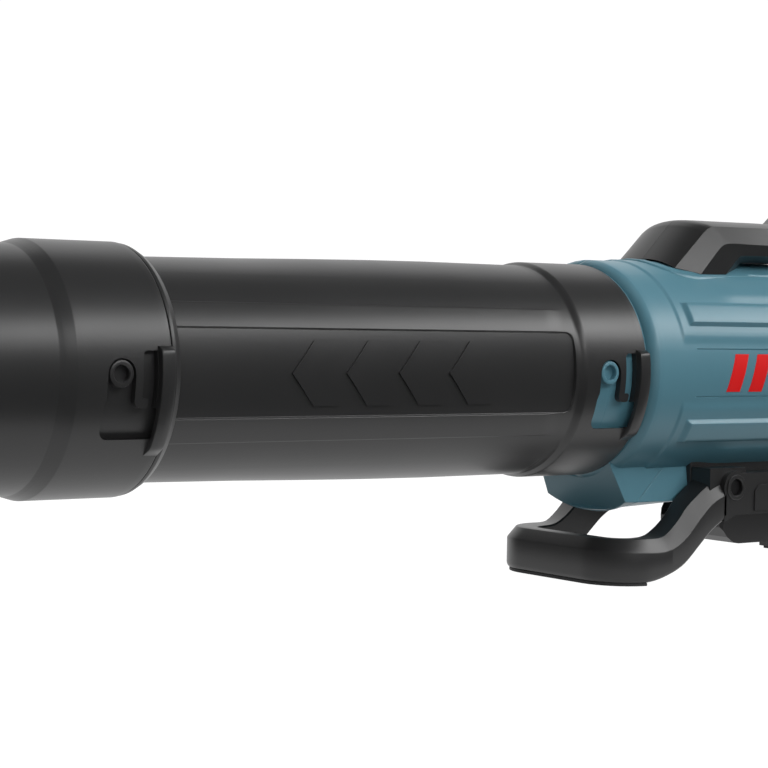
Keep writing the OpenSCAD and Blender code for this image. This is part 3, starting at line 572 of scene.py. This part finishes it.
low_side = [-a for a in reversed(angle_marks)]
ring_angles = [-90 + 0.05, -84, -78, -72, -66] + low_side + angle_marks[1:] + [59.95]
top_angles = ring_angles + [64, 70, 76, 82, 88, 90 - 0.03]
COVER_X = 160.4
SPIGOT = fillet([(74.0, 44.6, 0.3), (74.0, 47.4, 0.5), (95.5, 47.4, 0.4), (96.0, 47.55, 0.1),
                 (front_x + 0.2, 47.55, 0), (front_x + 0.2, 44.6, 0)])
for far, name in ((False, "left"), (True, "right")):
    xs_front = [x for x in x_list if x < COVER_X - 0.5] + [COVER_X - 0.25]
    xs_rear = [COVER_X - 0.25] + [x for x in x_list if x > COVER_X]
    nose = [on_circle(front_x, r, phi) for r in (47.6, 50.3) for phi in top_angles]
    if far:
        nose = [(x, -y, z) for x, y, z in nose]
    shell = put(f"housing_{name}_shell", *gather(
        (nose, grid_faces(2, len(top_angles), flip=far)),
        barrel_patch(xs_front, top_angles, far), barrel_patch(xs_rear, ring_angles, far)),
        None, "housing_plastic")
    spigot = put(f"spigot_{name}", *lathe(SPIGOT, 200, -90, 90), None, "housing_plastic")
    if far:
        for v in spigot.data.vertices:
            v.co.y = -v.co.y
    tidy_normals(spigot)
    dress(spigot, 34)
    attach(spigot, "housing", "housing_plastic")
    b = bmesh.new()
    b.from_mesh(shell.data)
    bmesh.ops.remove_doubles(b, verts=b.verts, dist=1e-6)
    bmesh.ops.recalc_face_normals(b, faces=b.faces)
    b.to_mesh(shell.data)
    b.free()
    outward = sum(p.normal.y * p.center.y + p.normal.z * (p.center.z - AXIS_Z) for p in shell.data.polygons)
    if outward < 0:
        shell.data.flip_normals()
    dress(shell, 34, solid=2.6)
    attach(shell, "housing", "housing_plastic", f"housing_{name}")

pegs = both_sides(peg(BODY_PEG_X, 46.0, MID_COLLAR_R - 0.4))
housing_pegs = put("housing_pegs", *pegs, None, "housing_plastic")
tidy_normals(housing_pegs)
dress(housing_pegs, 40)
attach(housing_pegs, "housing", "housing_plastic")

# chin and battery base: (y, z) sections along x, front to back


def loft(sections, name, body, slot, bevel):
    """A closed skin through the sections, capped at both ends."""
    k = len(sections[0])
    verts = [p for section in sections for p in section]
    faces = grid_faces(len(sections), k, wrap_cols=True)
    faces += [tuple(range(k)), tuple(reversed(range((len(sections) - 1) * k, len(sections) * k)))]
    o = put(name, verts, faces, None, slot)
    tidy_normals(o)
    dress(o, 30, bevel, 3)
    if body:
        attach(o, body, slot)
    return o


def chin_ring(x_of_z, w, side_z, keel_z):
    """A section of the chin: sides that spread going down, and a bowed keel."""
    top_z, w_top = -38.0, w - 2.7
    outline = [(-w_top, top_z), (-w, side_z)]
    for i in range(1, 12):
        t = -1 + i / 6
        outline.append((w * t, side_z + (keel_z - side_z) * (1 - abs(t) ** 2.4)))
    outline += [(w, side_z), (w_top, top_z)]
    return [(x_of_z(z), y, z) for y, z in outline]


def lean(x_top, slope):
    """A sloping plane: x as a function of z, from x_top where the chin leaves the barrel."""
    return lambda z: x_top + slope * (-47.0 - z)


SEAM = (149.0, -1.147)  # the seam across the chin leans forward going down
SEAM_GAP = 0.12
loft([chin_ring(lean(117.6, 0.48), 27.9, -62.2, -68.6), chin_ring(lean(121.6, 0.34), 28.3, -62.3, -68.4),
      chin_ring(lean(SEAM[0] - SEAM_GAP, SEAM[1]), 29.0, -62.4, -67.5)],
     "chin_front", "housing", "housing_plastic", 0.7)
loft([chin_ring(lean(SEAM[0] + SEAM_GAP, SEAM[1]), 29.0, -62.4, -67.5),
      chin_ring(lambda z: 168.0, 29.6, -62.6, -64.5)],
     "chin_rear", "housing", "housing_plastic", 0.35)


def box(x0, x1, y0, y1, z0, z1):
    verts = [(x, y, z) for x in (x0, x1) for y in (y0, y1) for z in (z0, z1)]
    return verts, [(0, 1, 3, 2), (4, 6, 7, 5), (0, 4, 5, 1), (2, 3, 7, 6), (0, 2, 6, 4), (1, 5, 7, 3)]


def both_walls(x0, x1, y_in, y_out, z0, z1):
    """A box on each side of the middle plane."""
    return [box(x0, x1, min(s * y_in, s * y_out), max(s * y_in, s * y_out), z0, z1) for s in (-1, 1)]


skirts = gather(*both_walls(167, 321.5, 26, 30.9, -61.7, -36), box(165, 177, -30.8, 30.8, -61.6, -40))
put("battery_base", *skirts, "housing", "black_plastic", bevel=0.5)

# top cover with the pads under the handle's feet
cover_angles = [60.2, 63, 66, 70, 75, 80, 85, 90, 95, 100, 105, 110, 114, 117, 119.8]
cover_x = [COVER_X + 0.05] + [x for x in x_list if COVER_X < x < 434] + [434.0]
cover = put("top_cover_shell", *barrel_patch(cover_x, cover_angles, False), None, "housing_plastic")
face_up(cover)
dress(cover, 34, solid=2.6)
attach(cover, "housing", "housing_plastic", "top_cover")

PAD_X0, PAD_X1, PAD_HALF, PAD_CORNER = 401.5, 433.5, 19.6, 3.0
pad_outline = [(PAD_X0, -PAD_HALF + PAD_CORNER), (PAD_X0, PAD_HALF - PAD_CORNER),
               (PAD_X0 + PAD_CORNER * 0.6, PAD_HALF), (PAD_X1, PAD_HALF), (PAD_X1, -PAD_HALF),
               (PAD_X0 + PAD_CORNER * 0.6, -PAD_HALF)]
k = len(pad_outline)
rows = []
for grow, z in ((0.6, 44.0), (0.6, 50.6), (0.0, 51.7), (-1.0, 52.0)):
    for x, y in pad_outline:
        out_x = grow if x > (PAD_X0 + PAD_X1) / 2 else -grow
        rows.append((x + out_x, y + math.copysign(grow, y), z))
pad_faces = grid_faces(4, k, wrap_cols=True) + [tuple(range(3 * k, 4 * k))]
pad = put("foot_pad_rear", rows, pad_faces, None, "housing_plastic")
tidy_normals(pad)
dress(pad, 30, 0.25)
attach(pad, "housing", "housing_plastic")

PEDESTAL = [(148.6, 0), (148.8, 8.5), (149.8, 16.8), (152.2, 21.4), (155.4, 24.9), (160.8, 27.8),
            (167.1, 29.3), (176, 29.3), (185.2, 28.9), (194.5, 27.6), (207.5, 27.6)]
PEDESTAL_MID_X = 182.0
pedestal_outline = [(x, -y) for x, y in reversed(PEDESTAL[1:])] + PEDESTAL
rows = []
for grow, r in ((0.9, 52.3), (0.8, 53.4), (0.35, 54.3), (0.0, 54.55), (-4.5, 54.55)):
    for x, y in pedestal_outline:
        dx = x - PEDESTAL_MID_X
        q = math.hypot(dx, y)
        px, py = x + grow * dx / q, y + grow * y / q
        rows.append((px, py, math.sqrt(r * r - py * py)))
pedestal_faces = grid_faces(5, len(pedestal_outline), wrap_cols=True)
pedestal = put("foot_pad_front", rows, pedestal_faces, None, "housing_plastic")
face_up(pedestal)
dress(pedestal, 24)
attach(pedestal, "housing", "housing_plastic")

# ---- red mark on the housing: plain slanted bars --------------------------------------------


def slanted_bar(x0, width, far):
    """A plain bar that leans back going up, and follows the barrel."""
    half, lean_by, n = 9.0, 0.32, 8
    rows = []
    for j in range(n + 1):
        z = -half + 2 * half * j / n
        phi = math.degrees(math.asin(z / BARREL_R))
        rows += [(x0 + w + lean_by * (z + half), phi) for w in (0, width)]
    bottom = [on_circle(u, BARREL_R - 0.3, phi) for u, phi in rows]
    top = [on_circle(u, BARREL_R + 0.12, phi) for u, phi in rows]
    verts, faces = ribbon(bottom, top, n)
    return ([(x, -y, z) for x, y, z in verts] if far else verts), faces


RED_BARS = ((166, 9), (181, 9), (196, 9), (211, 34), (251, 9), (266, 9))
bars = gather(*[slanted_bar(x0, width, far) for far in (False, True) for x0, width in RED_BARS])
red = put("housing_red_bars", *bars, None, "red_button", material=PRINT_RED)
tidy_normals(red)
dress(red, 40)
attach(red, "housing", "red_button")

# ---- handle --------------------------------------------------------------------------------

# Five matched lines run from foot to foot: crown, shoulder, widest edge, lower edge and underside.
CROWN = [(148.5, 44), (157.7, 53.3), (166.8, 62.4), (174.5, 70), (177.2, 72.5), (181.2, 74.5), (188, 74.9),
         (205, 75), (228, 75.2), (250, 75.4), (260, 78), (274, 90), (290, 104), (303, 112), (318, 115),
         (350, 115), (392, 115), (408, 112.3), (421, 103), (430, 88), (432, 70), (432, 45)]
SHOULDER = [(153.5, 44), (159.4, 49.7), (169.7, 59.2), (177.4, 66.4), (180.3, 68.9), (183.2, 70.5),
            (187.1, 71.2), (205, 71.4), (228, 71.7), (249, 71.8), (258, 73.7), (272, 85), (288, 100),
            (302, 108), (318, 111), (350, 111), (391, 111), (405, 108.6), (417, 100), (426, 87), (428, 70),
            (428, 45)]
EDGE = [(165, 40), (171.5, 46.4), (178, 53.2), (184.3, 59.6), (186.5, 61.4), (188.8, 62.4), (193.5, 63),
        (208, 62.9), (230, 62.8), (249, 62.9), (257, 65.2), (269, 75.5), (284, 89), (299, 98.5), (315, 101.5),
        (350, 101.5), (387, 101.5), (397, 99.8), (407, 93), (416, 83), (418, 70), (418, 45)]
LOWER = [(185, 42.5), (189.6, 47.1), (194, 51.5), (198.2, 55.7), (199.9, 56.8), (202.4, 57.2), (206, 57.3),
         (214, 57.4), (232, 57.5), (250, 57.7), (255, 58.6), (265, 63.3), (280, 74.5), (297, 85.5),
         (313, 89), (350, 89), (380, 89), (389, 87.6), (396, 84), (402.5, 76), (404, 66), (404.5, 45)]
UNDER = [(195.5, 42.4), (200, 46.9), (203, 49.8), (205.8, 52.6), (206.8, 53.3), (208, 53.8), (212, 54.2),
         (218, 54.5), (234, 54.6), (251, 54.8), (256, 56), (266, 61.3), (281, 72.9), (297.5, 84.2), (313, 88),
         (350, 88.4), (380, 88.4), (388.5, 87), (395.2, 83.3), (401.5, 75.8), (403.2, 66), (403.7, 45)]
WIDE = {"shoulder": (22.0, 16.9), "edge": (27.4, 18.2), "lower": (26.9, 15.8), "under": (20.0, 12.6)}


def half_width(line, x):
    """Half the handle's width at a line, from the wide front foot to the grip."""
    front, back = WIDE[line]
    return front + (back - front) * float(step(228.0, 263.0, x))


def smooth_line(points, sub=5):
    """A Catmull-Rom line through the points."""
    out = []
    p = [Vector(q) for q in points]
    for i in range(len(p) - 1):
        a, b, c, d = p[max(i - 1, 0)], p[i], p[i + 1], p[min(i + 2, len(p) - 1)]
        for j in range(sub):
            t = j / sub
            square, cube = 2 * a - 5 * b + 4 * c - d, 3 * b - a - 3 * c + d
            q = 0.5 * ((2 * b) + (c - a) * t + square * t * t + cube * t ** 3)
            out.append((q.x, q.y))
    out.append((p[-1].x, p[-1].y))
    return out


fine = [smooth_line(line) for line in (CROWN, SHOULDER, EDGE, LOWER, UNDER)]
stations = len(fine[0])


def handle_half(name, sign):
    """One handle shell, made of a ring at each station along the matched lines."""
    split, bow = 0.06, math.radians(50)
    verts, k = [], 0
    for i in range(stations):
        crown, shoulder, edge, lower, under = (f[i] for f in fine)
        ring = []
        for j in range(9):  # crown, bowed over to the shoulder
            t = bow * j / 8
            y = half_width("shoulder", shoulder[0]) * math.sin(t) / math.sin(bow)
            w = (1 - math.cos(t)) / (1 - math.cos(bow))
            ring.append((crown[0] + (shoulder[0] - crown[0]) * w, y, crown[1] + (shoulder[1] - crown[1]) * w))
        ring.append((edge[0], half_width("edge", edge[0]), edge[1]))
        ring.append((lower[0], half_width("lower", lower[0]), lower[1]))
        ring.append((under[0], half_width("under", under[0]), under[1]))
        ring.append((under[0], 0.0, under[1] - 0.1))
        ring = [(x, sign * max(y, split), z) for x, y, z in ring]
        k = len(ring)
        verts += ring
    faces = grid_faces(stations, k, wrap_cols=True)
    faces += [tuple(range(k)), tuple(reversed(range((stations - 1) * k, stations * k)))]
    o = put(name, verts, faces, None, "black_plastic")
    tidy_normals(o)
    return o


def rod(x, z, y0, y1, r, n=40):
    verts = [(x + r * math.cos(2 * math.pi * i / n), y, z + r * math.sin(2 * math.pi * i / n))
             for y in (y0, y1) for i in range(n)]
    faces = [(i, (i + 1) % n, n + (i + 1) % n, n + i) for i in range(n)]
    return verts, faces + [tuple(reversed(range(n))), tuple(range(n, 2 * n))]


for name, sign in (("left", -1), ("right", 1)):
    half = handle_half(f"handle_{name}_shell", sign)
    barrel_cut = put("c1", *lathe([(100, 0.01), (100, 54.7), (500, 54.7), (500, 0.01)], 160), None, "steel")
    trigger_cut = put("c3", *box(299, 346, -8.3, 8.3, 80, 95), None, "steel")
    cut(half, [barrel_cut, trigger_cut])
    dress(half, 16, 0.32, 2, 14)
    attach(half, "housing", "black_plastic", f"handle_{name}")

# ---- stand ---------------------------------------------------------------------------------

STAND_HALF, STRAP, STAND_X0, CORNER = 46.5, 15.5, 102.0, 24.0  # STRAP is the arms' thickness
LOW_EDGE = [(102, -98.6), (124, -98.6), (137.2, -95.9), (147.5, -91.3), (158, -82.3), (165.9, -75.7),
            (175.8, -70.4), (180.9, -68.8), (202, -68.4)]
HIGH_EDGE = [(102, -83.5), (116.7, -84.1), (132.3, -84.7), (140.1, -82.7), (148.2, -77.9), (155.4, -70.8),
             (164.4, -62.9), (173.3, -58.9), (180, -57)]
OUTER_TOP = [(107, -78.3), (125, -78.3), (134.9, -78), (140.3, -75.3), (146.5, -69.8), (151.2, -64.5),
             (157.3, -59.8), (164.6, -54.9), (171.5, -52.1), (180, -50)]
INNER_TOP = [(107, -78.6), (130, -78.6), (138.5, -75.5), (145.4, -70.3), (149.5, -66), (153.2, -61.4),
             (158.5, -57), (164.8, -53), (167.5, -50.2), (180, -48)]


def stand_path():
    """Stations from the near arm round the front loop to the far arm: x, y and the outward direction."""
    near, turn = [], STAND_X0 + CORNER
    for x in list(np.arange(174, turn, -2.2)) + [turn]:
        near.append((float(x), -STAND_HALF, 0.0, -1.0))
    for i in range(1, 16):
        a = math.radians(-90 - 90 * i / 16)
        nx, ny = math.cos(a), math.sin(a)
        near.append((turn + CORNER * nx, -STAND_HALF + CORNER + CORNER * ny, nx, ny))
    front_half = STAND_HALF - CORNER
    front = [(STAND_X0, float(y), -1.0, 0.0) for y in np.linspace(-front_half, front_half, 16)]
    return near + front + [(x, -y, nx, -ny) for x, y, nx, ny in reversed(near)]


def edge_at(points, x):
    xs, zs = zip(*points)
    return float(np.interp(x, xs, zs))


low, high, outer_top, inner_top = (smooth_line(e, 4) for e in (LOW_EDGE, HIGH_EDGE, OUTER_TOP, INNER_TOP))
SECTION = [  # inset from the outer face, the edge that the point follows, and its height above it
    (0.0, low, 2.6), (0.25, low, 1.4), (0.8, low, 0.6), (1.6, low, 0.15), (2.6, low, 0.0),
    (STRAP - 1.0, low, 0.0), (STRAP, low, 1.0), (STRAP, inner_top, -0.8), (STRAP - 0.8, inner_top, 0.0),
    (4.9, outer_top, 0.1), (4.3, outer_top, -0.1), (0.25, high, 0.3), (0.0, high, -0.3)]
sections = []
for x, y, nx, ny in stand_path():
    ring = []
    for inset, edge, rise in SECTION:
        px, py = x - nx * inset, y - ny * inset
        ring.append((px, py, edge_at(edge, px) + rise))
    sections.append(ring)
loop = loft(sections, "stand_loop", None, "black_plastic", 0)

BOSS = (180.3, -55.5)
SCREWS_X = (BOSS[0], 288.0)
COUNTERBORE_R = 4.1
RAIL = [(172.6, -72.0), (180.9, -68.8), (291, -68.4), (297, -76), (297, -98.6), (319, -98.6), (319, -58),
        (312, -48.7), (190, -48.7)] + arc(*BOSS, 8, 58, 196, 16)
STEP_PLATE = [(193, -67.2), (292, -67.2), (292, -54.5), (196, -54.5), (193, -57.5)]
BOSS_RIM = [(COUNTERBORE_R, 46.3), (COUNTERBORE_R, 46.9), (4.4, 47.2), (5.9, 47.2), (6.2, 46.9), (6.2, 46.3)]


def span(s, inner_y, outer_y):
    """The lower and the higher y of a wall on side s."""
    return min(s * inner_y, s * outer_y), max(s * inner_y, s * outer_y)


rails, details = [], []
for s in (-1, 1):
    rail = put("rail", *prism_y(RAIL, *span(s, STAND_HALF - STRAP, STAND_HALF)), None, "black_plastic")
    cut(rail, [put("c", *rod(x, BOSS[1], *span(s, 42, 60), COUNTERBORE_R), None, "steel") for x in SCREWS_X])
    rails.append(rail)
    details.append(prism_y(STEP_PLATE, *span(s, 40, 47.1)))
    details.append(box(165.5, 190, *span(s, 31, 43.5), -62, -46.2))
    for x in SCREWS_X:
        n = 56
        turns = [2 * math.pi * i / n for i in range(n)]
        verts = [(x + q * math.cos(a), s * d, BOSS[1] + q * math.sin(a)) for a in turns for q, d in BOSS_RIM]
        details.append((verts, grid_faces(n, len(BOSS_RIM), wrap_cols=True, wrap_rows=True)))
extra = put("stand_details", *gather(*details), None, "black_plastic")
tidy_normals(extra)
merge(loop, [*rails, extra])
dress(loop, 24, 0.45, 3, 24)
attach(loop, "housing", "black_plastic", "stand_frame")

# ---- the other CAD nodes keep their shape and take a material and soft edges ---------------------

EDGE_WIDTH = {"inlet_grille": 0.6, "battery_lower_case": 2.6, "battery_upper_case": 0.5, "grip_pad": 1.6,
              "trigger": 1.2, "cruise_lever": 0.8, "turbo_button": 0.8, "strap_eyelet": 1.0,
              "stand_pads": 0.6}
for n, o in frame["nodes"].items():
    if o.hide_render:
        continue
    o.data.materials.clear()
    o.data.materials.append(DARK_STEEL if n == "stand_screws" else MAT[SLOT_OF[n]])
    o.data.shade_smooth()
    o.data.set_sharp_from_angle(angle=math.radians(30))
    if n in EDGE_WIDTH:
        b = o.modifiers.new("edges", "BEVEL")
        b.width = EDGE_WIDTH[n] * MM
        b.segments = 3
        b.limit_method = "ANGLE"
        b.angle_limit = math.radians(28)
        b.harden_normals = True

# ---- floor, lights and camera ------------------------------------------------------------------

m, t, shader = node_material("studio_white")
shader.inputs["Base Color"].default_value = (0.04, 0.04, 0.04, 1)
shader.inputs["Roughness"].default_value = 0.9
shader.inputs["Emission Color"].default_value = (1, 1, 1, 1)
shader.inputs["Emission Strength"].default_value = 1.0
SPLIT_Y, SPLIT_X, FAR = -0.13, -0.4, 9.0  # the stage behind SPLIT_Y and right of SPLIT_X shows in reflections
curve = [(1.2 + math.sin(a), 1.0 - math.cos(a)) for a in np.linspace(0.1, 1.57, 14)]
sweep = [(SPLIT_Y, 0.0), (1.2, 0.0)] + curve + [(2.2, 4.0)]
STAGE = (("studio_floor", [(-FAR, 0.0), (SPLIT_Y, 0.0)], -FAR, FAR, False),
         ("studio_sweep_left", sweep, -FAR, SPLIT_X, False),
         ("studio_sweep", sweep, SPLIT_X, FAR, True))
for name, profile, x0, x1, mirrored in STAGE:
    points = [(x / MM, y / MM, (z - AXIS_Z) / MM) for y, z in profile for x in np.linspace(x0, x1, 5)]
    floor = put(name, points, grid_faces(len(profile), 5), None, "steel")
    floor.data.materials.clear()
    floor.data.materials.append(m)
    floor.visible_diffuse = False
    floor.visible_glossy = mirrored
bpy.context.scene.view_settings.view_transform = "Standard"

world = bpy.data.worlds.new("studio")
bpy.context.scene.world = world
world.use_nodes = True
world.node_tree.nodes["Background"].inputs["Color"].default_value = (1, 1, 1, 1)
world.node_tree.nodes["Background"].inputs["Strength"].default_value = 0.09


def softbox(name, place, aim, size, power, size_y):
    """A soft area light at a place, aimed at a point."""
    light = bpy.data.lights.new(name, "AREA")
    light.shape = "RECTANGLE"
    light.size = size
    light.size_y = size_y
    light.energy = power
    o = bpy.data.objects.new(name, light)
    bpy.context.scene.collection.objects.link(o)
    o.location = place
    o.rotation_mode = "QUATERNION"
    o.rotation_quaternion = (Vector(aim) - Vector(place)).to_track_quat("-Z", "Y")
    return o


softbox("key_strip", (1.1, -1.5, 1.35), (0.1, 0.0, 0.1), 3.6, 44, 0.6)
softbox("top_soft", (0.0, -0.3, 1.9), (0.05, 0.0, 0.1), 2.0, 10, 0.8).visible_glossy = False
softbox("back_soft", (0.2, 1.5, 1.3), (0.1, 0.0, 0.1), 2.4, 16, 0.8).visible_glossy = False
softbox("front_fill", (-0.9, -1.9, 0.30), (0.05, 0.0, 0.1), 1.6, 9, 0.5).visible_glossy = False

camera = bpy.data.cameras.new("camera")
cam = bpy.data.objects.new("camera", camera)
bpy.context.scene.collection.objects.link(cam)
bpy.context.scene.camera = cam
yaw, tilt = math.radians(36.72), math.radians(1.85)
away = 0.7556
cam.location = (-0.5623, -away * math.cos(tilt), AXIS_Z + away * math.sin(tilt))
forward = Vector((math.sin(yaw), math.cos(yaw) * math.cos(tilt), -math.cos(yaw) * math.sin(tilt)))
right = Vector((math.cos(yaw), -math.sin(yaw) * math.cos(tilt), math.sin(yaw) * math.sin(tilt)))
up = right.cross(forward)
cam.rotation_mode = "QUATERNION"
cam.rotation_quaternion = Matrix((right, up, -forward)).transposed().to_quaternion()
camera.sensor_width = 36
camera.lens = 98.34
camera.shift_y = -0.0189
camera.clip_start = 0.01
camera.clip_end = 20
